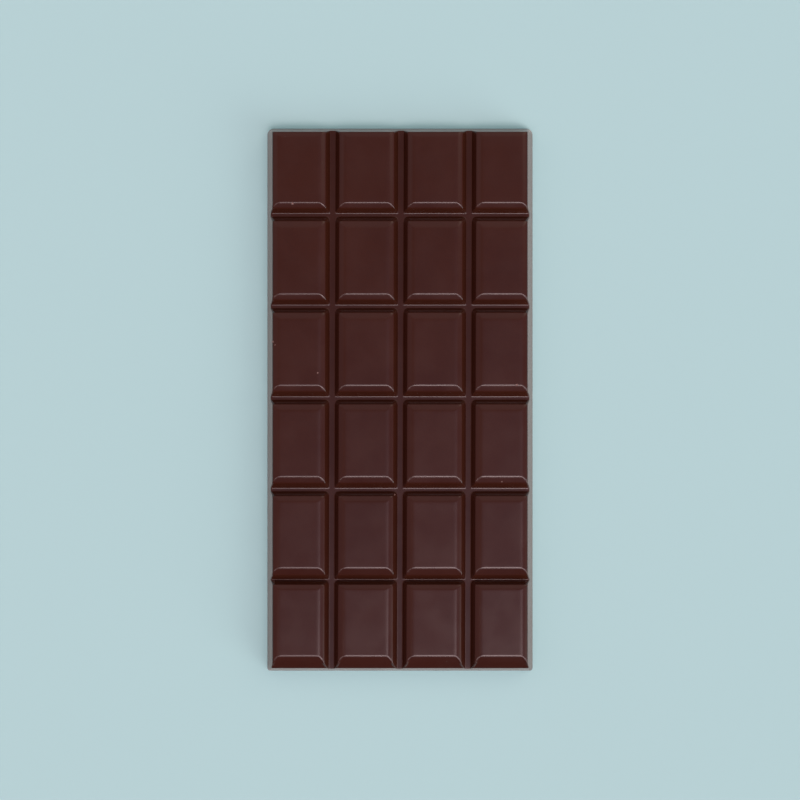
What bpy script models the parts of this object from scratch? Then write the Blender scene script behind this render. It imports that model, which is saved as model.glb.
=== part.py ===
"""A moulded dark chocolate tablet: four columns by six rows of raised segments.

The tablet is one solid piece. A low slab carries 24 raised segments, each with a flat face
and four rounded bevels that run down to the breaking grooves. The mould's leaning wall
trims the slab and the outer segments together, so the grooves run out through it.

Frame: metres, +Z up. The origin is the middle of the flat underside, +X runs across the
columns and +Y along the rows, towards the end with the rounder corners.
"""

import math

import bmesh
import bpy
from mathutils import Matrix

MM = 0.001

# Overall size of the tablet, at its underside.
BAR_LENGTH = 157.0 * MM
BAR_WIDTH = 76.8 * MM
BAR_HEIGHT = 7.5 * MM

# The outer wall leans inwards, so that the tablet leaves its mould.
WALL_DRAFT = math.radians(16.6)
FAR_CORNER_RADIUS = 1.8 * MM
NEAR_CORNER_RADIUS = 0.8 * MM
SMALLEST_CORNER_RADIUS = 0.3 * MM

# Breaking grooves: their floors lie this far below the faces.
GROOVE_DEPTH = 2.5 * MM

# Columns, from left to right. The wall cuts the two outer faces a little short.
COLUMNS = 4
COLUMN_PITCH = 19.54 * MM
COLUMN_FLOOR = 1.6 * MM
FACE_WIDTH = 12.95 * MM
OUTER_FACE_EDGE = 35.0 * MM

# Rows, from the far end (+Y) to the near end. The faces sit on a slightly closer pitch
# than the grooves, and the last row has crept towards the row before it.
ROWS = 6
GROOVE_PITCH = 26.25 * MM
FIRST_GROOVE_Y = BAR_LENGTH / 2 - 25.55 * MM
ROW_FLOOR = 0.95 * MM
LAST_ROW_FLOOR = 0.5 * MM
LAST_GROOVE_CREEP = 0.55 * MM
FACE_PITCH = 26.02 * MM
FACE_LENGTH = 18.9 * MM
FIRST_FACE_TOP_Y = BAR_LENGTH / 2 - 3.35 * MM
LAST_FACE_CREEP = 1.0 * MM

# How far a bevel reaches out from its face where no groove stops it.
OUTER_SIDE_BEVEL = 2.6 * MM
FAR_END_BEVEL = 3.0 * MM
NEAR_END_BEVEL = 3.7 * MM

# A bevel leaves its face gently and ends steeply at the groove's floor. Its drop, as a
# share of the groove's depth, is GENTLE * s + (1 - GENTLE) * s ** STEEPENING, where s
# goes from 0 at the face to 1 at the foot.
GENTLE = 0.56
STEEPENING = 2.6
BEVEL_STEPS = 5
FACE_CORNER_RADIUS = 1.0 * MM
FOOT_CORNER_RADIUS = 0.5 * MM
CORNER_STEPS = 3

# How far the slab and the segments run past what trims or joins them.
OVERRUN = 1.0 * MM

CHOCOLATE_COLOUR = (0.040, 0.0125, 0.0095, 1.0)
CHOCOLATE_ROUGHNESS = 0.32
CHOCOLATE_IOR = 1.48


def clear_scene():
    """Remove every object, so that the model starts from an empty scene."""
    for old in list(bpy.data.objects):
        bpy.data.objects.remove(old, do_unlink=True)


def new_collection(name):
    """Link a collection to the scene and return it."""
    collection = bpy.data.collections.new(name)
    bpy.context.scene.collection.children.link(collection)
    return collection


def chocolate_material():
    """Glossy dark chocolate, as it comes out of a polished mould."""
    material = bpy.data.materials.new("dark_chocolate")
    material.use_nodes = True
    shader = material.node_tree.nodes["Principled BSDF"]
    shader.inputs["Base Color"].default_value = CHOCOLATE_COLOUR
    shader.inputs["Roughness"].default_value = CHOCOLATE_ROUGHNESS
    shader.inputs["Metallic"].default_value = 0.0
    shader.inputs["IOR"].default_value = CHOCOLATE_IOR
    material.diffuse_color = CHOCOLATE_COLOUR
    return material


def rounded_rectangle(left, right, near, far, radii):
    """Points round a rectangle with round corners, anticlockwise seen from above.

    radii holds the corners' radii: near right, far right, far left, near left.
    """
    corners = ((right, near), (right, far), (left, far), (left, near))
    inward = ((-1, 1), (-1, -1), (1, -1), (1, 1))
    points = []
    for index, ((x, y), (to_x, to_y), radius) in enumerate(zip(corners, inward, radii)):
        start = math.radians(-90 + 90 * index)
        for step in range(CORNER_STEPS + 1):
            angle = start + math.radians(90) * step / CORNER_STEPS
            points.append((
                x + to_x * radius + radius * math.cos(angle),
                y + to_y * radius + radius * math.sin(angle),
            ))
    return points


def loft(name, rings, collection):
    """A closed solid through rings of points, each a list of (x, y) at one height.

    rings holds (outline, z) from the lowest to the highest, with equally many points.
    """
    mesh = bpy.data.meshes.new(name)
    form = bmesh.new()
    levels = []
    for outline, z in rings:
        levels.append([form.verts.new((x, y, z)) for x, y in outline])
    for lower, upper in zip(levels, levels[1:]):
        for index in range(len(lower)):
            following = (index + 1) % len(lower)
            form.faces.new((lower[index], lower[following], upper[following], upper[index]))
    form.faces.new(list(reversed(levels[0])))
    form.faces.new(levels[-1])
    form.to_mesh(mesh)
    form.free()
    solid = bpy.data.objects.new(name, mesh)
    collection.objects.link(solid)
    return solid


def column_span(column):
    """Left and right edges of a column's faces, and of their feet in the grooves."""
    centre = (column - (COLUMNS - 1) / 2) * COLUMN_PITCH
    face = [centre - FACE_WIDTH / 2, centre + FACE_WIDTH / 2]
    foot = [
        centre - (COLUMN_PITCH - COLUMN_FLOOR) / 2,
        centre + (COLUMN_PITCH - COLUMN_FLOOR) / 2,
    ]
    if column == 0:
        face[0] = -OUTER_FACE_EDGE
        foot[0] = face[0] - OUTER_SIDE_BEVEL
    if column == COLUMNS - 1:
        face[1] = OUTER_FACE_EDGE
        foot[1] = face[1] + OUTER_SIDE_BEVEL
    return face, foot


def groove_span(groove):
    """Near and far edges of a cross groove's floor; groove 0 is the far one."""
    centre = FIRST_GROOVE_Y - groove * GROOVE_PITCH
    width = ROW_FLOOR
    if groove == ROWS - 2:
        centre += LAST_GROOVE_CREEP
        width = LAST_ROW_FLOOR
    return centre - width / 2, centre + width / 2


def row_span(row):
    """Near and far edges of a row's faces, and of their feet; row 0 is the far one."""
    far_edge = FIRST_FACE_TOP_Y - row * FACE_PITCH
    if row == ROWS - 1:
        far_edge += LAST_FACE_CREEP
    face = [far_edge - FACE_LENGTH, far_edge]
    if row == 0:
        foot_far = face[1] + FAR_END_BEVEL
    else:
        foot_far = groove_span(row - 1)[0]
    if row == ROWS - 1:
        foot_near = face[0] - NEAR_END_BEVEL
    else:
        foot_near = groove_span(row)[1]
    return face, [foot_near, foot_far]


def bevel_drop(share):
    """How far a bevel lies below its face, at a share of its way to the foot."""
    return GROOVE_DEPTH * (GENTLE * share + (1 - GENTLE) * share ** STEEPENING)


def segment(column, row, collection):
    """One raised segment, from inside the slab up to its flat face."""
    (left, right), (left_foot, right_foot) = column_span(column)
    (near, far), (near_foot, far_foot) = row_span(row)
    rings = []
    for step in range(BEVEL_STEPS, -1, -1):
        share = step / BEVEL_STEPS
        radius = FACE_CORNER_RADIUS + (FOOT_CORNER_RADIUS - FACE_CORNER_RADIUS) * share
        outline = rounded_rectangle(
            left + (left_foot - left) * share,
            right + (right_foot - right) * share,
            near + (near_foot - near) * share,
            far + (far_foot - far) * share,
            (radius,) * 4,
        )
        rings.append((outline, BAR_HEIGHT - bevel_drop(share)))
    root_outline, floor_height = rings[0]
    rings.insert(0, (root_outline, floor_height - OVERRUN))
    return loft(f"segment_{column}_{row}", rings, collection)


def slab(collection, material):
    """The low block under the grooves, oversize on every side that the wall trims."""
    width = BAR_WIDTH + 2 * OVERRUN
    length = BAR_LENGTH + 2 * OVERRUN
    height = BAR_HEIGHT - GROOVE_DEPTH + OVERRUN
    mesh = bpy.data.meshes.new("chocolate_bar")
    form = bmesh.new()
    bmesh.ops.create_cube(
        form,
        size=1.0,
        matrix=Matrix.Translation((0, 0, height / 2 - OVERRUN))
        @ Matrix.Diagonal((width, length, height, 1)),
    )
    form.to_mesh(mesh)
    form.free()
    block = bpy.data.objects.new("chocolate_bar", mesh)
    collection.objects.link(block)
    block.data.materials.append(material)
    return block


def mould_cavity(collection):
    """The space inside the mould's leaning wall, which trims the tablet all round."""
    rings = []
    for z in (0.0, BAR_HEIGHT + OVERRUN):
        inset = z * math.tan(WALL_DRAFT)
        near_radius = max(NEAR_CORNER_RADIUS - inset, SMALLEST_CORNER_RADIUS)
        far_radius = max(FAR_CORNER_RADIUS - inset, SMALLEST_CORNER_RADIUS)
        outline = rounded_rectangle(
            -BAR_WIDTH / 2 + inset,
            BAR_WIDTH / 2 - inset,
            -BAR_LENGTH / 2 + inset,
            BAR_LENGTH / 2 - inset,
            (near_radius, far_radius, far_radius, near_radius),
        )
        rings.append((outline, z))
    cavity = loft("mould_cavity", rings, collection)
    cavity.hide_render = True
    cavity.display_type = "WIRE"
    return cavity


def apply_boolean(solid, name, operation, operand):
    """Join or trim a solid with a collection's objects or one object, for good."""
    modifier = solid.modifiers.new(name, "BOOLEAN")
    modifier.operation = operation
    modifier.solver = "EXACT"
    if isinstance(operand, bpy.types.Collection):
        modifier.operand_type = "COLLECTION"
        modifier.collection = operand
    else:
        modifier.object = operand
    graph = bpy.context.evaluated_depsgraph_get()
    result = bpy.data.meshes.new_from_object(solid.evaluated_get(graph))
    result.name = solid.name
    solid.modifiers.clear()
    solid.data = result


def build():
    """Make the tablet."""
    clear_scene()
    parts = new_collection("chocolate_bar")
    cutters = new_collection("cutters")
    segments = new_collection("segments")
    tablet = slab(parts, chocolate_material())
    for row in range(ROWS):
        for column in range(COLUMNS):
            segment(column, row, segments)
    apply_boolean(tablet, "join_segments", "UNION", segments)
    for joined in list(segments.objects):
        bpy.data.objects.remove(joined, do_unlink=True)
    apply_boolean(tablet, "trim_to_mould", "INTERSECT", mould_cavity(cutters))


build()
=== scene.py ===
"""Looks of a moulded dark chocolate tablet, lying on a pale blue ground, seen from above.

The tablet is one piece that stands for the node chocolate_bar. A flat plan sheet is laid
out first: its mesh lines run along every edge that the mould gives the tablet, and each of
its points knows how far it lies down a bevel, which profile that bevel has, and how far in
from the outer wall it is. A Geometry Nodes tree, the mould relief, then raises the sheet
to the tablet's real form.

Units are metres, +Z is up, +X runs across the columns and +Y along the rows.
"""

import logging
import math
from dataclasses import astuple, dataclass, fields
from enum import Enum

import bpy
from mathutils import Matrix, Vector
from mathutils.geometry import delaunay_2d_cdt

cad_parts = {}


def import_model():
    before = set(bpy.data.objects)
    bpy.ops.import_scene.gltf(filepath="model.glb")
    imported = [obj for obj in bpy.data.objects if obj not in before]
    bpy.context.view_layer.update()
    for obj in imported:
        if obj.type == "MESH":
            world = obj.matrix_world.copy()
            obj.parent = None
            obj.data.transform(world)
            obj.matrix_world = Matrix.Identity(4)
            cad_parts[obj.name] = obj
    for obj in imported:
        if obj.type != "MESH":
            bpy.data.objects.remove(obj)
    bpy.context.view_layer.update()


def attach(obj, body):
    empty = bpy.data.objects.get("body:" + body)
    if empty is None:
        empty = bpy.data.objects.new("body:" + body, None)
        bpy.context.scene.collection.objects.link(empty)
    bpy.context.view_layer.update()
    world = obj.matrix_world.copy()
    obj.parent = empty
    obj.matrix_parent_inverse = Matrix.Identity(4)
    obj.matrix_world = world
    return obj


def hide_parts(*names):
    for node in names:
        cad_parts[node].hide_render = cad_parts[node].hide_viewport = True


LOG = logging.getLogger("chocolate_bar")

Tree = bpy.types.NodeTree
Socket = bpy.types.NodeSocket
Sockets = bpy.types.bpy_prop_collection

MM = 0.001
NODE = "chocolate_bar"
BODY = "root"


def linear(hex_colour: str) -> tuple[float, float, float, float]:
    """Turn an sRGB hex colour into the linear colour that a shader socket takes.

    Args:
        hex_colour: Six hex digits, such as "b9d0d4".

    Returns:
        Linear red, green, blue and an alpha of 1.
    """
    shares = [int(hex_colour[start:start + 2], 16) / 255 for start in (0, 2, 4)]
    channels = [
        share / 12.92 if share <= 0.04045 else ((share + 0.055) / 1.055) ** 2.4
        for share in shares
    ]
    return (*channels, 1.0)


def add_node(
    tree: Tree, kind: str, settings: dict | None = None, inputs: dict | None = None
) -> bpy.types.Node:
    """Add a node with its settings, and give its inputs a value or a link.

    Args:
        tree: The tree that takes the node.
        kind: The node's type, such as "ShaderNodeMath".
        settings: Properties of the node, by name.
        inputs: Values or output sockets, by the input's name or index.

    Returns:
        The new node.
    """
    node = tree.nodes.new(kind)
    for name, value in (settings or {}).items():
        setattr(node, name, value)
    for key, value in (inputs or {}).items():
        socket = node.inputs[key]
        if isinstance(value, Socket):
            tree.links.new(value, socket)
        else:
            socket.default_value = value
    return node


def maths(tree: Tree, operation: str, *terms: float | Socket) -> Socket:
    """Add one step of arithmetic on numbers or sockets.

    Args:
        tree: The tree that takes the step.
        operation: The operation's name, such as "ADD".
        terms: The numbers or output sockets that it works on.

    Returns:
        The result's socket.
    """
    return add_node(
        tree, "ShaderNodeMath", {"operation": operation}, dict(enumerate(terms))
    ).outputs[0]


def smooth_step(
    tree: Tree, value: Socket, start: float, end: float, low: float = 0.0, high: float = 1.0
) -> Socket:
    """Add a smooth step from low, at start, to high, at end."""
    return add_node(tree, "ShaderNodeMapRange", {"interpolation_type": "SMOOTHSTEP"}, {
        "Value": value, "From Min": start, "From Max": end, "To Min": low, "To Max": high,
    }).outputs[0]


class Edge(Enum):
    """What a segment's face slopes down to on one of its four sides."""

    GROOVE = "groove"
    WALL = "wall"


class Draw(Enum):
    """Where in the noise each unevenness of the relief is drawn, so that none repeats."""

    ACROSS = 0.0
    ALONG = 9.0
    FACES = 21.0
    BACK = 33.0


@dataclass(frozen=True)
class Stretch:
    """A segment's extent along one axis.

    Each pair holds the lower and the higher side: where the segment's part of the sheet
    ends, where its bevel would meet the groove's floor, and where its flat face ends.
    """

    border: tuple[float, float]
    foot: tuple[float, float]
    face: tuple[float, float]
    edge: tuple[Edge, Edge]

    def share(self, place: float) -> float:
        """How far down a bevel a place lies.

        Args:
            place: The place along the axis.

        Returns:
            0 at the face's edge and 1 at the foot, and below 0 on the face.
        """
        low = (self.face[0] - place) / (self.face[0] - self.foot[0])
        high = (place - self.face[1]) / (self.foot[1] - self.face[1])
        return max(low, high)


@dataclass(frozen=True)
class MouldSizes:
    """Driving sizes of the tablet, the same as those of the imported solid."""

    length: float = 157.0 * MM
    width: float = 76.8 * MM
    height: float = 7.5 * MM
    draft: float = math.radians(16.6)
    far_corner: float = 1.8 * MM
    near_corner: float = 0.8 * MM
    smallest_corner: float = 0.3 * MM
    columns: int = 4
    column_pitch: float = 19.54 * MM
    column_floor: float = 1.6 * MM
    face_width: float = 12.95 * MM
    outer_face_edge: float = 35.0 * MM
    rows: int = 6
    groove_pitch: float = 26.25 * MM
    first_groove: float = 25.55 * MM
    row_floor: float = 0.95 * MM
    last_row_floor: float = 0.5 * MM
    last_groove_creep: float = 0.55 * MM
    face_pitch: float = 26.02 * MM
    face_length: float = 18.9 * MM
    first_face: float = 3.35 * MM
    last_face_creep: float = 1.0 * MM
    side_bevel: float = 2.6 * MM
    far_bevel: float = 3.0 * MM
    near_bevel: float = 3.7 * MM

    def column(self, index: int) -> Stretch:
        """One column's extent across the tablet.

        Args:
            index: The column, 0 for the left one.

        Returns:
            Its extent along X.
        """
        centre = (index - (self.columns - 1) / 2) * self.column_pitch
        half_face = self.face_width / 2
        half_foot = (self.column_pitch - self.column_floor) / 2
        face = [centre - half_face, centre + half_face]
        foot = [centre - half_foot, centre + half_foot]
        border = [centre - self.column_pitch / 2, centre + self.column_pitch / 2]
        edge = [Edge.GROOVE, Edge.GROOVE]
        for side, outermost, sign in ((0, 0, -1), (1, self.columns - 1, 1)):
            if index == outermost:
                face[side] = sign * self.outer_face_edge
                foot[side] = face[side] + sign * self.side_bevel
                border[side] = sign * self.width / 2
                edge[side] = Edge.WALL
        return Stretch(tuple(border), tuple(foot), tuple(face), tuple(edge))

    def groove(self, index: int) -> tuple[float, float]:
        """Where a cross groove lies.

        Args:
            index: The groove, 0 for the far one.

        Returns:
            Its centre along Y and the width of its floor.
        """
        centre = self.length / 2 - self.first_groove - index * self.groove_pitch
        if index == self.rows - 2:
            return centre + self.last_groove_creep, self.last_row_floor
        return centre, self.row_floor

    def row(self, index: int) -> Stretch:
        """One row's extent along the tablet.

        Args:
            index: The row, 0 for the far one.

        Returns:
            Its extent along Y.
        """
        far_face = self.length / 2 - self.first_face - index * self.face_pitch
        if index == self.rows - 1:
            far_face += self.last_face_creep
        near_face = far_face - self.face_length
        edge = [Edge.GROOVE, Edge.GROOVE]
        if index == 0:
            far_foot = far_face + self.far_bevel
            far_border = self.length / 2
            edge[1] = Edge.WALL
        else:
            far_border, floor = self.groove(index - 1)
            far_foot = far_border - floor / 2
        if index == self.rows - 1:
            near_foot = near_face - self.near_bevel
            near_border = -self.length / 2
            edge[0] = Edge.WALL
        else:
            near_border, floor = self.groove(index)
            near_foot = near_border + floor / 2
        return Stretch(
            (near_border, far_border), (near_foot, far_foot), (near_face, far_face), tuple(edge)
        )

    def inset(self, x: float, y: float) -> float:
        """How far a point lies in from the outline of the underside.

        The outline's corners are round, and sharpen up the leaning wall.

        Args:
            x: The point's place across the tablet.
            y: The point's place along the tablet.

        Returns:
            The distance, 0 on the outline.
        """
        from_side = self.width / 2 - abs(x)
        from_end = self.length / 2 - abs(y)
        distance = min(from_side, from_end)
        corner = self.far_corner if y > 0 else self.near_corner
        for radius, level in ((corner, 0.0), (self.smallest_corner, max(distance, 0.0))):
            across = max(radius + level - from_side, 0.0)
            along = max(radius + level - from_end, 0.0)
            if across > 0.0 and along > 0.0:
                distance = min(distance, radius + level - math.hypot(across, along))
        return distance


@dataclass(frozen=True)
class BevelProfile:
    """How a bevel runs down from its face to the groove's floor.

    It leaves the face with a rounding, runs down a gentle slope, breaks into a steep foot
    and ends in a fillet. Its start, foot, rounding and break are shares of the bevel's
    width in the plan, its slope is in depths per width, and the fillet is a length. Towards
    the foot the ridge beside it comes closer to a plain mitre, the more so the higher its
    corner sharpness.
    """

    start: float
    foot: float
    rounding: float
    gentle_slope: float
    break_at: float
    fillet: float
    corner_sharpness: float


@dataclass
class PlanSheet:
    """A flat sheet of the tablet's plan, with mesh lines along all its edges.

    The sheet is a grid. Its lines crowd where the form bends: at the edge of each face,
    at the foot of each bevel and at the outer rim. Bevels on all sides share the same
    levels, so the ridge between two bevels runs through the corners of the grid. The points
    carry the profile of the bevel towards their end: near, near before the last groove,
    near at the end, or far.
    """

    sizes: MouldSizes
    near: BevelProfile = BevelProfile(0.033, 0.95, 0.18, 0.54, 0.6, 0.9 * MM, 24.0)
    last_groove: BevelProfile = BevelProfile(0.04, 1.05, 0.18, 0.62, 0.62, 0.1 * MM, 24.0)
    end: BevelProfile = BevelProfile(0.06, 1.4, 0.12, 0.84, 0.4, 0.1 * MM, 24.0)
    far: BevelProfile = BevelProfile(0.0, 1.0, 0.3, 0.3, 0.555, 0.18 * MM, 5.0)
    face_step: float = 2.0 * MM
    back_step: float = 2.6 * MM
    net_tolerance: float = 1e-9
    corner_zone: float = 4.0 * MM
    corner_fade_inset: float = 3.0 * MM
    corner_fade_width: float = 0.8 * MM
    crease_levels: tuple[float, ...] = (
        -0.5, -0.34, -0.2, -0.1, -0.06, -0.03, 0.0, 0.03, 0.06, 0.1
    )
    bevel_levels: tuple[float, ...] = (0.2, 0.33, 0.46, 0.55, 0.6, 0.64, 0.7, 0.78)
    foot_levels: tuple[float, ...] = (0.85, 0.89, 0.92, 0.95, 0.975, 1.0)
    floor_shares: tuple[float, ...] = (0.12, 0.3, 0.6, 1.0)
    column_lean: float = math.radians(0.15)
    column_creep: float = 0.09 * MM
    lean_fade: float = 8.0 * MM
    smallest_gap: float = 0.03 * MM
    rim_insets: tuple[float, ...] = (
        2.25, 2.13, 2.04, 1.96, 1.88, 1.8, 1.72, 1.64, 1.56, 1.48, 1.4
    )
    wall_insets: tuple[float, ...] = (1.28, 1.05, 0.8, 0.55, 0.3, 0.12, 0.0)

    def side_lines(self, stretch: Stretch, side: int) -> list[float]:
        """Grid lines from a face's edge out to the segment's border, on one side.

        Args:
            stretch: The segment's extent along the axis.
            side: 0 for the lower side and 1 for the higher one.

        Returns:
            The lines' places, in order from the face outwards.
        """
        face, foot, border = stretch.face[side], stretch.foot[side], stretch.border[side]
        outward = 1 if side else -1
        levels = self.crease_levels + self.bevel_levels + self.foot_levels
        lines = [face + (foot - face) * level for level in levels]
        if stretch.edge[side] is Edge.GROOVE:
            return lines + [foot + (border - foot) * share for share in self.floor_shares]
        rim = [border - outward * inset * MM for inset in self.rim_insets + self.wall_insets]
        gap = self.smallest_gap
        before_rim = [line for line in lines if outward * line < outward * rim[0] - gap]
        near_rim = [
            line for line in lines
            if outward * rim[0] < outward * line < outward * rim[-len(self.wall_insets)]
        ]
        if len(near_rim) > len(self.rim_insets) / 2:
            before_rim = lines
            rim = [line for line in rim if outward * line > outward * lines[-1] + gap]
        return before_rim + rim

    def lines(self, stretches: list[Stretch]) -> list[float]:
        """All grid lines along one axis, from the lowest to the highest.

        Args:
            stretches: The segments' extents along the axis, in rising order.

        Returns:
            The lines' places, each one once.
        """
        places: list[float] = []
        for stretch in stretches:
            low = self.side_lines(stretch, 0)[::-1]
            high = self.side_lines(stretch, 1)
            steps = max(2, round((high[0] - low[-1]) / self.face_step))
            middle = [low[-1] + (high[0] - low[-1]) * step / steps for step in range(1, steps)]
            places.extend(low[1:] if places else low)
            places.extend(middle + high)
        return places

    def round_corner(self, x: float, y: float) -> tuple[float, float]:
        """Bend the grid round the outline's corners.

        Args:
            x: The point's place across the tablet.
            y: The point's place along the tablet.

        Returns:
            The point's new place, the same one away from the corners.
        """
        sizes = self.sizes
        from_side = sizes.width / 2 - abs(x)
        from_end = sizes.length / 2 - abs(y)
        level = min(from_side, from_end)
        along = max(from_side, from_end) - level
        if level + along >= self.corner_zone:
            return x, y
        corner = sizes.far_corner if y > 0 else sizes.near_corner
        fade = min(1.0, max(0.0, (self.corner_fade_inset - level) / self.corner_fade_width))
        radius = max(corner - level, sizes.smallest_corner) * fade
        reach = self.corner_zone - level
        arc = radius * math.pi / 4
        path = along / reach * (arc + reach - radius)
        if path >= arc:
            near, far = 0.0, radius + path - arc
        else:
            angle = math.pi / 4 - path / radius
            near = radius * (1 - math.cos(angle))
            far = radius * (1 - math.sin(angle))
        moved = (level + near, level + far)
        from_side, from_end = moved if from_side <= from_end else moved[::-1]
        return (
            math.copysign(sizes.width / 2 - from_side, x),
            math.copysign(sizes.length / 2 - from_end, y),
        )

    def lean(self, x: float, y: float) -> float:
        """How far the mould's slight lean of the columns moves a point along X."""
        fade = min(1.0, max(0.0, (self.sizes.outer_face_edge - abs(x)) / self.lean_fade))
        return (self.column_creep + y * math.tan(self.column_lean)) * fade

    def build(self) -> bpy.types.Mesh:
        """Lay out the closed sheet: the grid on top and a plain net for the underside.

        Returns:
            A flat mesh with the point attributes across, along, inset and back, and with
            the sizes of the near or far bevel's profile as further ones.
        """
        columns = [self.sizes.column(index) for index in range(self.sizes.columns)]
        rows = [self.sizes.row(index) for index in reversed(range(self.sizes.rows))]
        x_lines = self.lines(columns)
        y_lines = self.lines(rows)
        x_shares = [min(stretch.share(x) for stretch in columns) for x in x_lines]
        y_shares = [min(stretch.share(y) for stretch in rows) for y in y_lines]
        points = []
        marks = []
        for y, y_share in zip(y_lines, y_shares):
            profile = astuple(self.profile(y, rows))
            for x, x_share in zip(x_lines, x_shares):
                place = self.round_corner(x, y)
                points.append((place[0] + self.lean(x, y), place[1], 0.0))
                marks.append((x_share, y_share, self.sizes.inset(*place), 0.0, *profile))
        faces = self.grid_faces(x_lines, y_lines, columns, rows)
        outline = self.outline(len(x_lines), len(y_lines))
        self.add_back(points, marks, faces, outline)
        mesh = bpy.data.meshes.new("plan_sheet")
        mesh.from_pydata(points, [], faces)
        names = ["across", "along", "inset", "back", *(size.name for size in fields(BevelProfile))]
        for index, name in enumerate(names):
            layer = mesh.attributes.new(name, "FLOAT", "POINT")
            layer.data.foreach_set("value", [mark[index] for mark in marks])
        on_outline = set(outline)
        sharp = mesh.attributes.new("sharp_edge", "BOOLEAN", "EDGE")
        sharp.data.foreach_set(
            "value", [all(vertex in on_outline for vertex in edge.vertices) for edge in mesh.edges]
        )
        return mesh

    def profile(self, y: float, rows: list[Stretch]) -> BevelProfile:
        """Choose the profile of the near or far bevel on a line across the tablet.

        Args:
            y: The line's place along the tablet.
            rows: The rows' extents, from the near end to the far one.

        Returns:
            The profile of the bevel that the line's half of its row runs down to.
        """
        index = next(index for index, row in enumerate(rows) if y <= row.border[1])
        if y > sum(rows[index].face) / 2:
            return self.far
        return (self.end, self.last_groove, self.near)[min(index, 2)]

    def grid_faces(
        self,
        x_lines: list[float],
        y_lines: list[float],
        columns: list[Stretch],
        rows: list[Stretch],
    ) -> list[tuple[int, ...]]:
        """The grid's faces, each one started so that it splits along the ridges.

        A four-sided face splits from its first corner to its third. The ridges between
        two bevels run outwards from each segment's middle.

        Args:
            x_lines: The grid lines' places across the tablet.
            y_lines: The grid lines' places along the tablet.
            columns: The columns' extents, from the left one.
            rows: The rows' extents, from the near one.

        Returns:
            The indices of each face's corners.
        """
        def falls(lines: list[float], stretches: list[Stretch]) -> list[bool]:
            """Tell which half of its segment each gap between lines lies on.

            Args:
                lines: The lines' places along one axis.
                stretches: The segments' extents along it.

            Returns:
                True for each gap on the lower half.
            """
            halves = []
            for low, high in zip(lines, lines[1:]):
                middle = (low + high) / 2
                own = next(s for s in stretches if s.border[0] <= middle <= s.border[1])
                halves.append(middle < sum(own.face) / 2)
            return halves

        count = len(x_lines)
        x_low, y_low = falls(x_lines, columns), falls(y_lines, rows)
        faces = []
        for row in range(len(y_lines) - 1):
            for column in range(count - 1):
                first = row * count + column
                corners = (first, first + 1, first + count + 1, first + count)
                if x_low[column] != y_low[row]:
                    corners = corners[1:] + corners[:1]
                faces.append(corners)
        return faces

    def outline(self, across: int, along: int) -> list[int]:
        """Go round the grid's outer points, anticlockwise seen from above.

        Args:
            across: The number of grid lines that follow each other across the tablet.
            along: The number that follow each other along it.

        Returns:
            The points' indices.
        """
        near = list(range(across))
        right = [row * across + across - 1 for row in range(1, along)]
        far = [(along - 1) * across + column for column in range(across - 2, -1, -1)]
        left = [row * across for row in range(along - 2, 0, -1)]
        return near + right + far + left

    def add_back(
        self,
        points: list[tuple[float, float, float]],
        marks: list[tuple[float, ...]],
        faces: list[tuple[int, ...]],
        outline: list[int],
    ) -> None:
        """Close the underside with a net of triangles inside the outline.

        Args:
            points: The sheet's points, which grow by those of the net.
            marks: The points' attributes, in the same order.
            faces: The sheet's faces, which grow by the net's triangles.
            outline: Indices of the outer points, in order.
        """
        sizes = self.sizes
        place_of = [Vector(points[index][:2]) for index in outline]
        source = list(outline)
        across = round(sizes.width / self.back_step)
        along = round(sizes.length / self.back_step)
        for row in range(1, along):
            for column in range(1, across):
                x = sizes.width * (column / across - 0.5)
                y = sizes.length * (row / along - 0.5)
                inset = sizes.inset(x, y)
                if inset > self.back_step / 2:
                    source.append(len(points))
                    place_of.append(Vector((x, y)))
                    points.append((x, y, 0.0))
                    marks.append((0.0, 0.0, 0.0, inset, *astuple(self.near)))
        ring = [(index, (index + 1) % len(outline)) for index in range(len(outline))]
        inside_only = 1
        net = delaunay_2d_cdt(place_of, ring, [], inside_only, self.net_tolerance)
        origin = [source[originals[0]] for originals in net[3]]
        for triangle in net[2]:
            faces.append(tuple(origin[index] for index in reversed(triangle)))


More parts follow.
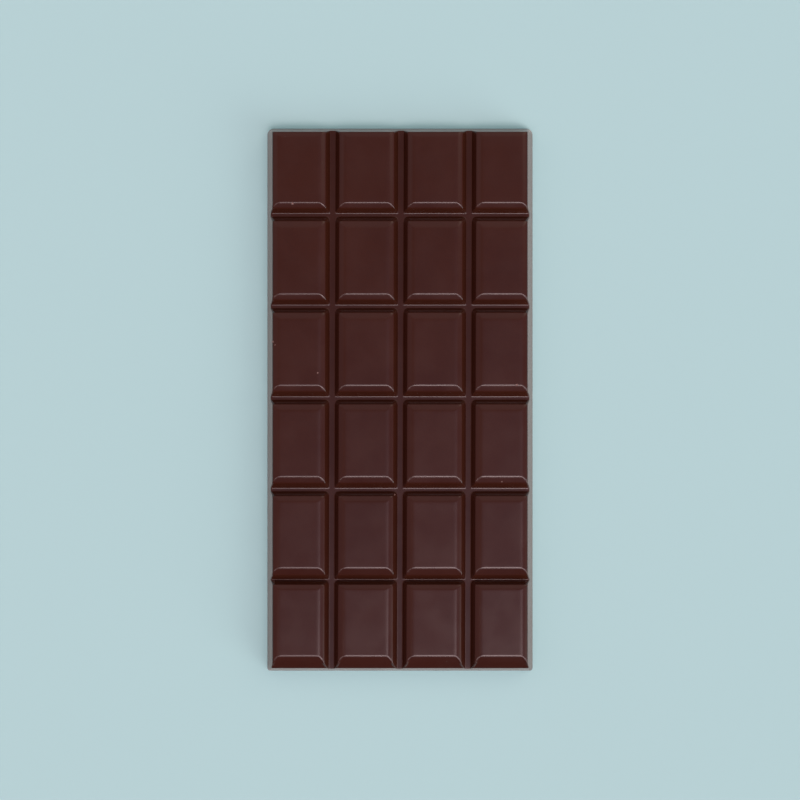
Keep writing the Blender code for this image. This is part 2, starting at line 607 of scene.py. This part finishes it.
@dataclass
class MouldRelief:
    """The Geometry Nodes tree that raises the plan sheet to the tablet's form.

    The near bevel starts at a crisp crease, and the three others at a soft shoulder. The
    left and right bevels share one profile, and the others bring theirs with the sheet.
    Where two bevels meet, their shares are joined as powers, which rounds the face's
    corners and leaves a ridge that sharpens on its way down.
    """

    sizes: MouldSizes
    side: BevelProfile = BevelProfile(0.0, 1.0, 0.5, 0.45, 0.54, 0.3 * MM, 0.0)
    groove_depth: float = 2.8 * MM
    break_rounding: float = 0.025
    face_corner_sharpness: float = 2.2
    sharpening_depth: float = 0.35
    rim_rounding: float = 0.45 * MM
    face_unevenness: float = 0.012 * MM
    unevenness_size: float = 11 * MM
    line_waver: float = 0.012
    waver_size: float = 7 * MM
    back_ripple: float = 0.12 * MM
    ripple_size: float = 17 * MM
    ripple_fade: float = 12 * MM
    wall_zone: float = 2.4 * MM
    wall_steepness: float = 0.42
    seed: int = 7

    def tree(self) -> Tree:
        """Build the tree, with named inputs for what shapes and finishes the tablet.

        Returns:
            The tree.
        """
        tree = bpy.data.node_groups.new("mould_relief", "GeometryNodeTree")
        kinds = {"Geometry": "Geometry", **dict.fromkeys(self.values(), "Float")}
        kinds |= {"Material": "Material", "Wall material": "Material"}
        for name, kind in kinds.items():
            tree.interface.new_socket(name, in_out="INPUT", socket_type=f"NodeSocket{kind}")
        tree.interface.new_socket("Geometry", in_out="OUTPUT", socket_type="NodeSocketGeometry")
        given = add_node(tree, "NodeGroupInput").outputs
        bevels = self.bevel_height(tree, given)
        floor = maths(tree, "SUBTRACT", given["Height"], given["Groove depth"])
        top = maths(tree, "SMOOTH_MAX", bevels[0], floor, bevels[1])
        uneven = self.noise(tree, given, self.unevenness_size, Draw.FACES)
        top = maths(tree, "MULTIPLY_ADD", uneven, given["Face unevenness"], top)
        inset = self.mark(tree, "inset")
        wall = maths(tree, "DIVIDE", inset, maths(tree, "TANGENT", given["Wall draft"]))
        raised = maths(tree, "SMOOTH_MIN", top, wall, given["Rim rounding"])
        raised = maths(tree, "MAXIMUM", raised, 0.0)
        fade = maths(tree, "DIVIDE", self.mark(tree, "back"), self.ripple_fade)
        fade = maths(tree, "MINIMUM", fade, 1.0)
        swell = maths(tree, "ABSOLUTE", self.noise(tree, given, self.ripple_size, Draw.BACK))
        ripple = maths(tree, "MULTIPLY", maths(tree, "MULTIPLY", swell, fade), given["Back ripple"])
        height = maths(tree, "ADD", raised, ripple)
        lift = add_node(tree, "ShaderNodeCombineXYZ", None, {"Z": height}).outputs[0]
        moved = add_node(
            tree, "GeometryNodeSetPosition", None, {"Geometry": given["Geometry"], "Offset": lift}
        )
        smooth = add_node(tree, "GeometryNodeSetShadeSmooth", None, {"Geometry": moved.outputs[0]})
        real = add_node(tree, "GeometryNodeRealizeInstances", None, {"Geometry": smooth.outputs[0]})
        dressed = add_node(tree, "GeometryNodeSetMaterial", None, {
            "Geometry": real.outputs[0], "Material": given["Material"],
        })
        walled = add_node(tree, "GeometryNodeSetMaterial", None, {
            "Geometry": dressed.outputs[0],
            "Selection": self.on_wall(tree, given, inset),
            "Material": given["Wall material"],
        })
        add_node(tree, "NodeGroupOutput", None, {"Geometry": walled.outputs[0]})
        return tree

    def mark(self, tree: Tree, name: str) -> Socket:
        """Read a point attribute of the plan sheet."""
        return add_node(
            tree, "GeometryNodeInputNamedAttribute", {"data_type": "FLOAT"}, {"Name": name}
        ).outputs["Attribute"]

    def noise(self, tree: Tree, given: Sockets, feature_size: float, draw: Draw) -> Socket:
        """Draw smooth noise between about -0.5 and 0.5.

        Args:
            tree: The relief's tree.
            given: The tree's inputs.
            feature_size: The width of the noise's bumps.
            draw: Where it is drawn, apart from the tree's other noises.

        Returns:
            The noise at each point.
        """
        place = add_node(tree, "GeometryNodeInputPosition").outputs[0]
        drawn = add_node(tree, "ShaderNodeTexNoise", {"noise_dimensions": "4D"}, {
            "Vector": place,
            "W": maths(tree, "ADD", given["Seed"], draw.value),
            "Scale": 1 / feature_size,
            "Detail": 1.0,
        })
        return maths(tree, "SUBTRACT", drawn.outputs[0], 0.5)

    def bevel_height(self, tree: Tree, given: Sockets) -> tuple[Socket, Socket]:
        """Work out how high the faces and their bevels lie.

        Args:
            tree: The relief's tree.
            given: The tree's inputs.

        Returns:
            The height at each point, before it meets the groove's floor, and the fillet
            there.
        """
        def between(share: Socket, low: Socket, high: Socket) -> Socket:
            """Go from low to high as a share goes from 0 to 1."""
            return maths(tree, "MULTIPLY_ADD", share, maths(tree, "SUBTRACT", high, low), low)

        def fitted(mark: str, draw: Draw, size: dict[str, Socket]) -> Socket:
            """A bevel's share from its start to its foot, with its rounding at the face.

            Args:
                mark: The sheet's attribute that holds the plain share.
                draw: Where the waver of its lines is drawn.
                size: The sizes of the bevel's profile, by name.

            Returns:
                The share, about 0 on the face and 1 at the foot.
            """
            share = maths(
                tree, "MULTIPLY_ADD", self.noise(tree, given, self.waver_size, draw),
                given["Line waver"], self.mark(tree, mark)
            )
            reach = maths(tree, "SUBTRACT", size["foot"], size["start"])
            share = maths(tree, "DIVIDE", maths(tree, "SUBTRACT", share, size["start"]), reach)
            return maths(tree, "SMOOTH_MAX", share, 0.0, size["rounding"])

        along_size = {size.name: self.mark(tree, size.name) for size in fields(BevelProfile)}
        side_size = {name: given[f"Side {name.replace('_', ' ')}"] for name in along_size}
        across = fitted("across", Draw.ACROSS, side_size)
        along = fitted("along", Draw.ALONG, along_size)
        depth = maths(tree, "MAXIMUM", across, along)
        depth = maths(tree, "MINIMUM", maths(tree, "DIVIDE", depth, given["Sharpening depth"]), 1.0)
        sharpness = between(depth, given["Face corner sharpness"], along_size["corner_sharpness"])
        across_power = maths(tree, "POWER", across, sharpness)
        powers = maths(tree, "ADD", across_power, maths(tree, "POWER", along, sharpness))
        share = maths(tree, "POWER", powers, maths(tree, "DIVIDE", 1.0, sharpness))
        side_part = maths(tree, "DIVIDE", across_power, powers)

        def own(name: str) -> Socket:
            """A size of the bevel that a point lies on, mixed across the ridges."""
            return between(side_part, along_size[name], side_size[name])

        slope, break_at = own("gentle_slope"), own("break_at")
        gentle = maths(tree, "MULTIPLY", share, slope)
        left = maths(tree, "SUBTRACT", 1.0, maths(tree, "MULTIPLY", slope, break_at))
        steepness = maths(tree, "DIVIDE", left, maths(tree, "SUBTRACT", 1.0, break_at))
        to_foot = maths(tree, "SUBTRACT", 1.0, share)
        steep = maths(tree, "SUBTRACT", 1.0, maths(tree, "MULTIPLY", to_foot, steepness))
        drop = maths(tree, "SMOOTH_MAX", gentle, steep, given["Break rounding"])
        drop = maths(tree, "MULTIPLY", drop, given["Groove depth"])
        return maths(tree, "SUBTRACT", given["Height"], drop), own("fillet")

    def on_wall(self, tree: Tree, given: Sockets, inset: Socket) -> Socket:
        """Tell the outer wall from the top and the back.

        Args:
            tree: The relief's tree.
            given: The tree's inputs.
            inset: How far each point lies in from the outline.

        Returns:
            1 on the wall and 0 elsewhere.
        """
        normal = add_node(tree, "GeometryNodeInputNormal").outputs[0]
        upward = add_node(tree, "ShaderNodeSeparateXYZ", None, {0: normal}).outputs["Z"]
        steep = maths(tree, "LESS_THAN", maths(tree, "ABSOLUTE", upward), given["Wall steepness"])
        return maths(tree, "MULTIPLY", steep, maths(tree, "LESS_THAN", inset, given["Wall zone"]))

    def values(self) -> dict[str, float]:
        """List the tree's number inputs.

        Returns:
            Their values, by name.
        """
        values = {
            "Height": self.sizes.height,
            "Groove depth": self.groove_depth,
            "Break rounding": self.break_rounding,
            "Face corner sharpness": self.face_corner_sharpness,
            "Sharpening depth": self.sharpening_depth,
            "Wall draft": self.sizes.draft,
            "Wall zone": self.wall_zone,
            "Wall steepness": self.wall_steepness,
            "Rim rounding": self.rim_rounding,
            "Face unevenness": self.face_unevenness,
            "Line waver": self.line_waver,
            "Back ripple": self.back_ripple,
            "Seed": float(self.seed),
        }
        for size in fields(self.side):
            values[f"Side {size.name.replace('_', ' ')}"] = getattr(self.side, size.name)
        return values

    def raise_sheet(
        self, sheet: bpy.types.Mesh, material: bpy.types.Material, wall: bpy.types.Material
    ) -> bpy.types.Mesh:
        """Run the tree on a sheet and return the result as a plain mesh.

        Args:
            sheet: The plan sheet's mesh.
            material: The finish of the top and the back.
            wall: The finish of the outer wall.

        Returns:
            The tablet's mesh, with no modifier behind it.
        """
        carrier = bpy.data.objects.new("relief_carrier", sheet)
        bpy.context.scene.collection.objects.link(carrier)
        modifier = carrier.modifiers.new("mould_relief", "NODES")
        modifier.node_group = self.tree()
        values = {**self.values(), "Material": material, "Wall material": wall}
        for item in modifier.node_group.interface.items_tree:
            if item.in_out == "INPUT" and item.name in values:
                modifier[item.identifier] = values[item.name]
        graph = bpy.context.evaluated_depsgraph_get()
        result = bpy.data.meshes.new_from_object(carrier.evaluated_get(graph))
        bpy.data.objects.remove(carrier, do_unlink=True)
        return result


@dataclass(frozen=True)
class Chip:
    """A small scar where a flake of chocolate has come off the upper side."""

    x: float
    y: float
    radius: float


@dataclass(frozen=True)
class DarkChocolate:
    """Tempered dark chocolate, released from a polished mould.

    Cocoa solids make it nearly black-brown, and the mould leaves an even satin gloss, so
    most of what the eye sees is the soft reflection of what stands round it. The back set
    in the open air, so it is duller. The outer wall can have a film of fine cocoa dust,
    which shows pale at a glancing look.
    """

    name: str = "tempered_dark_chocolate_moulded"
    cocoa: str = "37190f"
    light_cocoa: str = "3b1c11"
    # Pale colour of the chips' scars: partly the dull broken surface, partly a painted glint of
    # light.
    scar: str = "80625a"
    patch_size: float = 17.0 * MM
    patch_range: tuple[float, float] = (0.4, 1.0)
    mottle_size: float = 1.7 * MM
    mottle_share: float = 0.4
    polish_size: float = 8.0 * MM
    polish_range: tuple[float, float] = (0.3, 0.7)
    grain_size: float = 0.5 * MM
    grain_height: float = 0.003 * MM
    pore_spacing: float = 7.5 * MM
    pore_radius: float = 0.16 * MM
    pore_core: float = 0.3
    pore_depth: float = 0.05 * MM
    gloss_roughness: float = 0.2
    dull_roughness: float = 0.25
    back_roughness: float = 0.42
    back_range: tuple[float, float] = (0.7 * MM, 0.3 * MM)
    scar_roughness: float = 0.65
    scar_grain: float = 0.35 * MM
    scar_raggedness: float = 0.5 * MM
    scar_core: float = 0.5
    scar_range: tuple[float, float] = (3.0 * MM, 4.0 * MM)
    ior: float = 1.48
    dust: float = 0.0
    dust_roughness: float = 0.5
    dust_tint: str = "ffe6d8"
    chips: tuple[Chip, ...] = (
        Chip(-30.6 * MM, 55.9 * MM, 0.34 * MM),
        Chip(-23.4 * MM, 7.6 * MM, 0.26 * MM),
        Chip(33.3 * MM, 4.2 * MM, 0.32 * MM),
        Chip(29.1 * MM, -23.4 * MM, 0.24 * MM),
        Chip(-36.2 * MM, 16.5 * MM, 0.38 * MM),
        Chip(-35.6 * MM, 15.6 * MM, 0.2 * MM),
        Chip(-1.5 * MM, -27.2 * MM, 0.24 * MM),
    )

    def material(self) -> bpy.types.Material:
        """Build the shader.

        Colour: slow patches where the cocoa butter set differently, over a fine mottle of cocoa
        grains. They keep wide faces from looking like one flat tone. The chips' scars are pale:
        partly the dull broken surface, partly a painted glint of light on the chipped edge.
        Roughness: the mould's polish wears unevenly, so reflections sharpen and soften
        slowly across the faces. The back and the chips' scars are dull.
        Bump: a very fine grain that frays the highlights, and pores left by air bubbles.

        Returns:
            The material.
        """
        material = bpy.data.materials.new(self.name)
        material.use_nodes = True
        tree = material.node_tree
        place = add_node(tree, "ShaderNodeTexCoord").outputs["Object"]
        height = add_node(tree, "ShaderNodeSeparateXYZ", None, {0: place}).outputs["Z"]

        def noise(size: float, detail: float) -> Socket:
            """Noise whose features are as large as given."""
            return add_node(tree, "ShaderNodeTexNoise", None, {
                "Vector": place, "Scale": 1 / size, "Detail": detail,
            }).outputs[0]

        on_back = smooth_step(tree, height, *self.back_range)
        scarred = self.scar_share(tree, place)
        mottle = noise(self.mottle_size, 3.0)
        patches = noise(self.patch_size, 2.0)
        tone = maths(tree, "MULTIPLY_ADD", mottle, self.mottle_share, patches)
        cocoa = add_node(tree, "ShaderNodeMix", {"data_type": "RGBA"}, {
            "Factor": smooth_step(tree, tone, *self.patch_range),
            "A": linear(self.cocoa),
            "B": linear(self.light_cocoa),
        }).outputs["Result"]
        # The chips' scars get a pale colour, partly a painted glint of light on the chipped edge.
        colour = add_node(tree, "ShaderNodeMix", {"data_type": "RGBA"}, {
            "Factor": scarred, "A": cocoa, "B": linear(self.scar),
        }).outputs["Result"]

        polish = smooth_step(
            tree, noise(self.polish_size, 2.0), *self.polish_range,
            self.gloss_roughness, self.dull_roughness,
        )
        back_change = self.back_roughness - self.dull_roughness
        dulled = maths(tree, "MULTIPLY_ADD", on_back, back_change, polish)
        scar_change = self.scar_roughness - self.dull_roughness
        roughness = maths(tree, "MULTIPLY_ADD", scarred, scar_change, dulled)

        nearest = add_node(tree, "ShaderNodeTexVoronoi", {"feature": "F1"}, {
            "Vector": place, "Scale": 1 / self.pore_spacing, "Randomness": 1.0,
        }).outputs["Distance"]
        radius = self.pore_radius / self.pore_spacing
        pore = smooth_step(tree, nearest, radius, radius * self.pore_core)
        grained = add_node(tree, "ShaderNodeBump", None, {
            "Height": noise(self.grain_size, 2.0), "Distance": self.grain_height, "Strength": 1.0,
        }).outputs[0]
        pitted = add_node(tree, "ShaderNodeBump", {"invert": True}, {
            "Height": maths(tree, "MAXIMUM", pore, scarred),
            "Distance": self.pore_depth,
            "Strength": 1.0,
            "Normal": grained,
        }).outputs[0]

        shader = tree.nodes["Principled BSDF"]
        tree.links.new(colour, shader.inputs["Base Color"])
        tree.links.new(roughness, shader.inputs["Roughness"])
        tree.links.new(pitted, shader.inputs["Normal"])
        shader.inputs["IOR"].default_value = self.ior
        shader.inputs["Sheen Weight"].default_value = self.dust
        shader.inputs["Sheen Roughness"].default_value = self.dust_roughness
        shader.inputs["Sheen Tint"].default_value = linear(self.dust_tint)
        return material

    def scar_share(self, tree: Tree, place: Socket) -> Socket:
        """Where the chips' scars are: 1 on a scar and 0 elsewhere. It also places their pale
        colour, which is partly a painted glint.

        Args:
            tree: The material's node tree.
            place: The object's own coordinates.

        Returns:
            The share, with ragged edges, on the upper side only.
        """
        ragged = add_node(tree, "ShaderNodeTexNoise", None, {
            "Vector": place, "Scale": 1 / self.scar_grain, "Detail": 2.0,
        }).outputs["Color"]
        moved = add_node(tree, "ShaderNodeVectorMath", {"operation": "MULTIPLY_ADD"}, {
            0: ragged, 1: (self.scar_raggedness, self.scar_raggedness, 0.0), 2: place,
        }).outputs[0]
        flat = add_node(tree, "ShaderNodeVectorMath", {"operation": "MULTIPLY"}, {
            0: moved, 1: (1.0, 1.0, 0.0),
        }).outputs[0]
        mean = self.scar_raggedness / 2
        share = None
        for chip in self.chips:
            away = add_node(tree, "ShaderNodeVectorMath", {"operation": "DISTANCE"}, {
                0: flat, 1: (chip.x + mean, chip.y + mean, 0.0),
            }).outputs["Value"]
            own = smooth_step(tree, away, chip.radius, chip.radius * self.scar_core)
            share = own if share is None else maths(tree, "MAXIMUM", share, own)
        height = add_node(tree, "ShaderNodeSeparateXYZ", None, {0: place}).outputs["Z"]
        return maths(tree, "MULTIPLY", share, smooth_step(tree, height, *self.scar_range))


@dataclass
class ChocolateTablet:
    """The whole tablet as one piece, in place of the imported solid."""

    sizes: MouldSizes

    def build(self) -> bpy.types.Object:
        """Make the tablet, give it its body and hide the imported solid that it stands in for.

        Returns:
            The tablet.
        """
        sheet = PlanSheet(self.sizes).build()
        polished = DarkChocolate().material()
        rubbed = DarkChocolate(name="tempered_dark_chocolate_rubbed", dust=0.3).material()
        mesh = MouldRelief(self.sizes).raise_sheet(sheet, polished, rubbed)
        mesh.name = "chocolate_tablet"
        tablet = bpy.data.objects.new("chocolate_tablet", mesh)
        bpy.context.scene.collection.objects.link(tablet)
        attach(tablet, BODY)
        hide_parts(NODE)
        return tablet


@dataclass
class StudioGround:
    """A wide sheet of pale blue acrylic, lit a little from behind like a light table."""

    sheet: str = "b0cdcd"
    glow: tuple[float, float, float] = (0.018, 0.1, 0.104)
    half_width: float = 30.0

    def build(self) -> bpy.types.Object:
        """Lay the ground just under the tablet.

        Returns:
            The ground.
        """
        outline = [
            (sign_x * self.half_width, sign_y * self.half_width, 0.0)
            for sign_x, sign_y in ((-1, -1), (1, -1), (1, 1), (-1, 1))
        ]
        mesh = bpy.data.meshes.new("ground")
        mesh.from_pydata(outline, [], [(0, 1, 2, 3)])
        ground = bpy.data.objects.new("ground", mesh)
        bpy.context.scene.collection.objects.link(ground)
        material = bpy.data.materials.new("matt_blue_acrylic")
        material.use_nodes = True
        shader = material.node_tree.nodes["Principled BSDF"]
        shader.inputs["Base Color"].default_value = linear(self.sheet)
        shader.inputs["Emission Color"].default_value = (*self.glow, 1.0)
        shader.inputs["Emission Strength"].default_value = 1.0
        shader.inputs["Roughness"].default_value = 1.0
        shader.inputs["Specular IOR Level"].default_value = 0.0
        mesh.materials.append(material)
        return ground


def bearing(azimuth: float, zenith: float) -> Vector:
    """A unit vector towards a place in the room.

    Args:
        azimuth: Degrees round from -Y towards +X.
        zenith: Degrees down from straight above.

    Returns:
        The direction.
    """
    round_by, down_by = math.radians(azimuth), math.radians(zenith)
    return Vector((
        math.sin(round_by) * math.sin(down_by),
        -math.cos(round_by) * math.sin(down_by),
        math.cos(down_by),
    ))


@dataclass(frozen=True)
class SoftBox:
    """A rectangular soft source, far enough away to look the same from the whole tablet.

    The half sizes are slopes: half the source's size over its distance.
    """

    name: str
    azimuth: float
    zenith: float
    half_width: float
    half_height: float
    softness: float
    glow: tuple[float, float, float]

    def axes(self) -> tuple[Vector, Vector, Vector]:
        """How the source stands in the room.

        Returns:
            Unit vectors towards its middle, along its width and up its height.
        """
        middle = bearing(self.azimuth, self.zenith)
        across = bearing(self.azimuth + 90.0, 90.0)
        return middle, across, middle.cross(across)


@dataclass(frozen=True)
class Reflector:
    """A wide part of the room that throws light back, brightest towards its middle.

    Its light starts where a direction's cosine to the middle passes start, and is full
    from where it passes full.
    """

    name: str
    azimuth: float
    zenith: float
    start: float
    full: float
    glow: tuple[float, float, float]


@dataclass
class StudioLight:
    """The light in the room, as a dim ceiling with soft sources round it.

    The key is a strip box above the near right. It gives the bright lines along the near
    creases and the shadows to the left and beyond the far end. Its diffuser spills some
    light round it. Two narrow strips pick out the ridges, and a low box lights the outer
    wall. The room's walls, corners and ceiling throw some light back.
    """

    ceiling: tuple[float, float, float] = (0.025, 0.025, 0.025)
    boxes: tuple[SoftBox, ...] = (
        SoftBox("key", 22.0, 27.2, 0.285, 0.12, 0.135, (11.6, 9.2, 9.1)),
        SoftBox("low_side", 54.0, 73.0, 0.32, 0.33, 0.23, (4.0, 4.1, 4.0)),
        SoftBox("left_strip", -45.0, 34.0, 0.07, 0.14, 0.06, (6.6, 5.2, 5.2)),
        SoftBox("right_strip", 45.0, 40.0, 0.07, 0.12, 0.06, (6.6, 5.2, 5.2)),
    )
    reflectors: tuple[Reflector, ...] = (
        Reflector("key_spill", 28.1, 27.2, 0.8, 1.0, (0.24, 0.27, 0.42)),
        Reflector("ceiling_middle", 180.0, 6.0, 0.93, 1.0, (0.12, 0.08, 0.1)),
        Reflector("far_wall", 180.0, 40.0, 0.83, 1.0, (0.46, 0.32, 0.35)),
        Reflector("left_wall", -90.0, 60.0, 0.5, 1.0, (0.38, 0.22, 0.25)),
        Reflector("right_wall", 90.0, 65.0, 0.4, 1.0, (0.18, 0.12, 0.2)),
        Reflector("near_wall", 0.0, 60.0, 0.5, 1.0, (0.0, 0.0, 0.04)),
        Reflector("far_right_corner", 135.0, 55.0, 0.85, 1.0, (1.25, 1.1, 0.9)),
        Reflector("far_left_corner", -135.0, 55.0, 0.85, 1.0, (0.4, 0.38, 0.35)),
    )

    smallest_ahead: float = 0.001

    def build(self) -> bpy.types.World:
        """Make the world that lights the scene.

        Returns:
            The world.
        """
        world = bpy.data.worlds.new("studio_light")
        world.use_nodes = True
        tree = world.node_tree
        direction = add_node(tree, "ShaderNodeTexCoord").outputs["Generated"]
        sky = add_node(tree, "ShaderNodeRGB").outputs[0]
        sky.default_value = (*self.ceiling, 1.0)
        for source in (*self.reflectors, *self.boxes):
            if isinstance(source, SoftBox):
                share = self.box_share(tree, direction, source)
            else:
                share = self.reflector_share(tree, direction, source)
            settings = {"data_type": "RGBA", "blend_type": "ADD", "label": source.name}
            sky = add_node(tree, "ShaderNodeMix", settings, {
                "Factor": share, "A": sky, "B": (*source.glow, 1.0),
            }).outputs["Result"]
        tree.links.new(sky, tree.nodes["Background"].inputs["Color"])
        bpy.context.scene.world = world
        return world

    def along(self, tree: Tree, direction: Socket, axis: Vector) -> Socket:
        """The direction's part along an axis."""
        return add_node(tree, "ShaderNodeVectorMath", {"operation": "DOT_PRODUCT"}, {
            0: direction, 1: axis,
        }).outputs["Value"]

    def reflector_share(self, tree: Tree, direction: Socket, source: Reflector) -> Socket:
        """How much of a reflector's light comes from a direction, from 0 to 1."""
        middle = bearing(source.azimuth, source.zenith)
        return smooth_step(tree, self.along(tree, direction, middle), source.start, source.full)

    def box_share(self, tree: Tree, direction: Socket, box: SoftBox) -> Socket:
        """How much of a soft box shows in a direction: 1 inside it and 0 outside.

        Args:
            tree: The world's node tree.
            direction: The direction looked in.
            box: The soft box.

        Returns:
            The share, with edges as soft as the box's diffuser makes them.
        """
        middle, across, upwards = box.axes()
        ahead = maths(tree, "MAXIMUM", self.along(tree, direction, middle), self.smallest_ahead)
        shares = []
        for axis, half in ((across, box.half_width), (upwards, box.half_height)):
            slope = maths(tree, "DIVIDE", self.along(tree, direction, axis), ahead)
            shares.append(smooth_step(
                tree, maths(tree, "ABSOLUTE", slope), half + box.softness, half - box.softness
            ))
        return maths(tree, "MULTIPLY", *shares)


@dataclass
class OverheadCamera:
    """A camera straight above the tablet, as in the photograph.

    Its height and lens come from the tablet's outline in the 800 pixel frame.
    """

    height: float = 443.4 * MM
    pixels_per_mm: float = 3.452
    frame_pixels: int = 800
    sensor: float = 36.0
    centre: tuple[float, float] = (400.0, 399.65)
    clip_start: float = 0.01

    def build(self) -> bpy.types.Object:
        """Make the camera and look straight down through it.

        Returns:
            The camera.
        """
        view_width = self.frame_pixels / self.pixels_per_mm * MM
        data = bpy.data.cameras.new("overhead_camera")
        data.sensor_width = self.sensor
        data.lens = self.sensor * self.height / view_width
        data.clip_start = self.clip_start
        camera = bpy.data.objects.new("overhead_camera", data)
        pixel = MM / self.pixels_per_mm
        middle = self.frame_pixels / 2
        camera.location = (
            (middle - self.centre[0]) * pixel,
            (self.centre[1] - middle) * pixel,
            self.height,
        )
        bpy.context.scene.collection.objects.link(camera)
        bpy.context.scene.camera = camera
        return camera


def corners(box: tuple[Vector, Vector]) -> list[list[float]]:
    """A box's lowest and highest corners as plain lists."""
    return [list(corner) for corner in box]


def main() -> None:
    """Build the tablet, its ground, light and camera, and note the sizes."""
    logging.basicConfig(level=logging.INFO, format="%(name)s: %(message)s")
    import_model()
    scene = bpy.context.scene
    scene.view_settings.view_transform = "Standard"
    tablet = ChocolateTablet(MouldSizes()).build()
    LOG.info("tablet: %d points, %d faces", len(tablet.data.vertices), len(tablet.data.polygons))
    for part in (StudioGround(), StudioLight(), OverheadCamera()):
        LOG.info("%s: built", part.build().name)


if __name__ == "__main__":
    main()
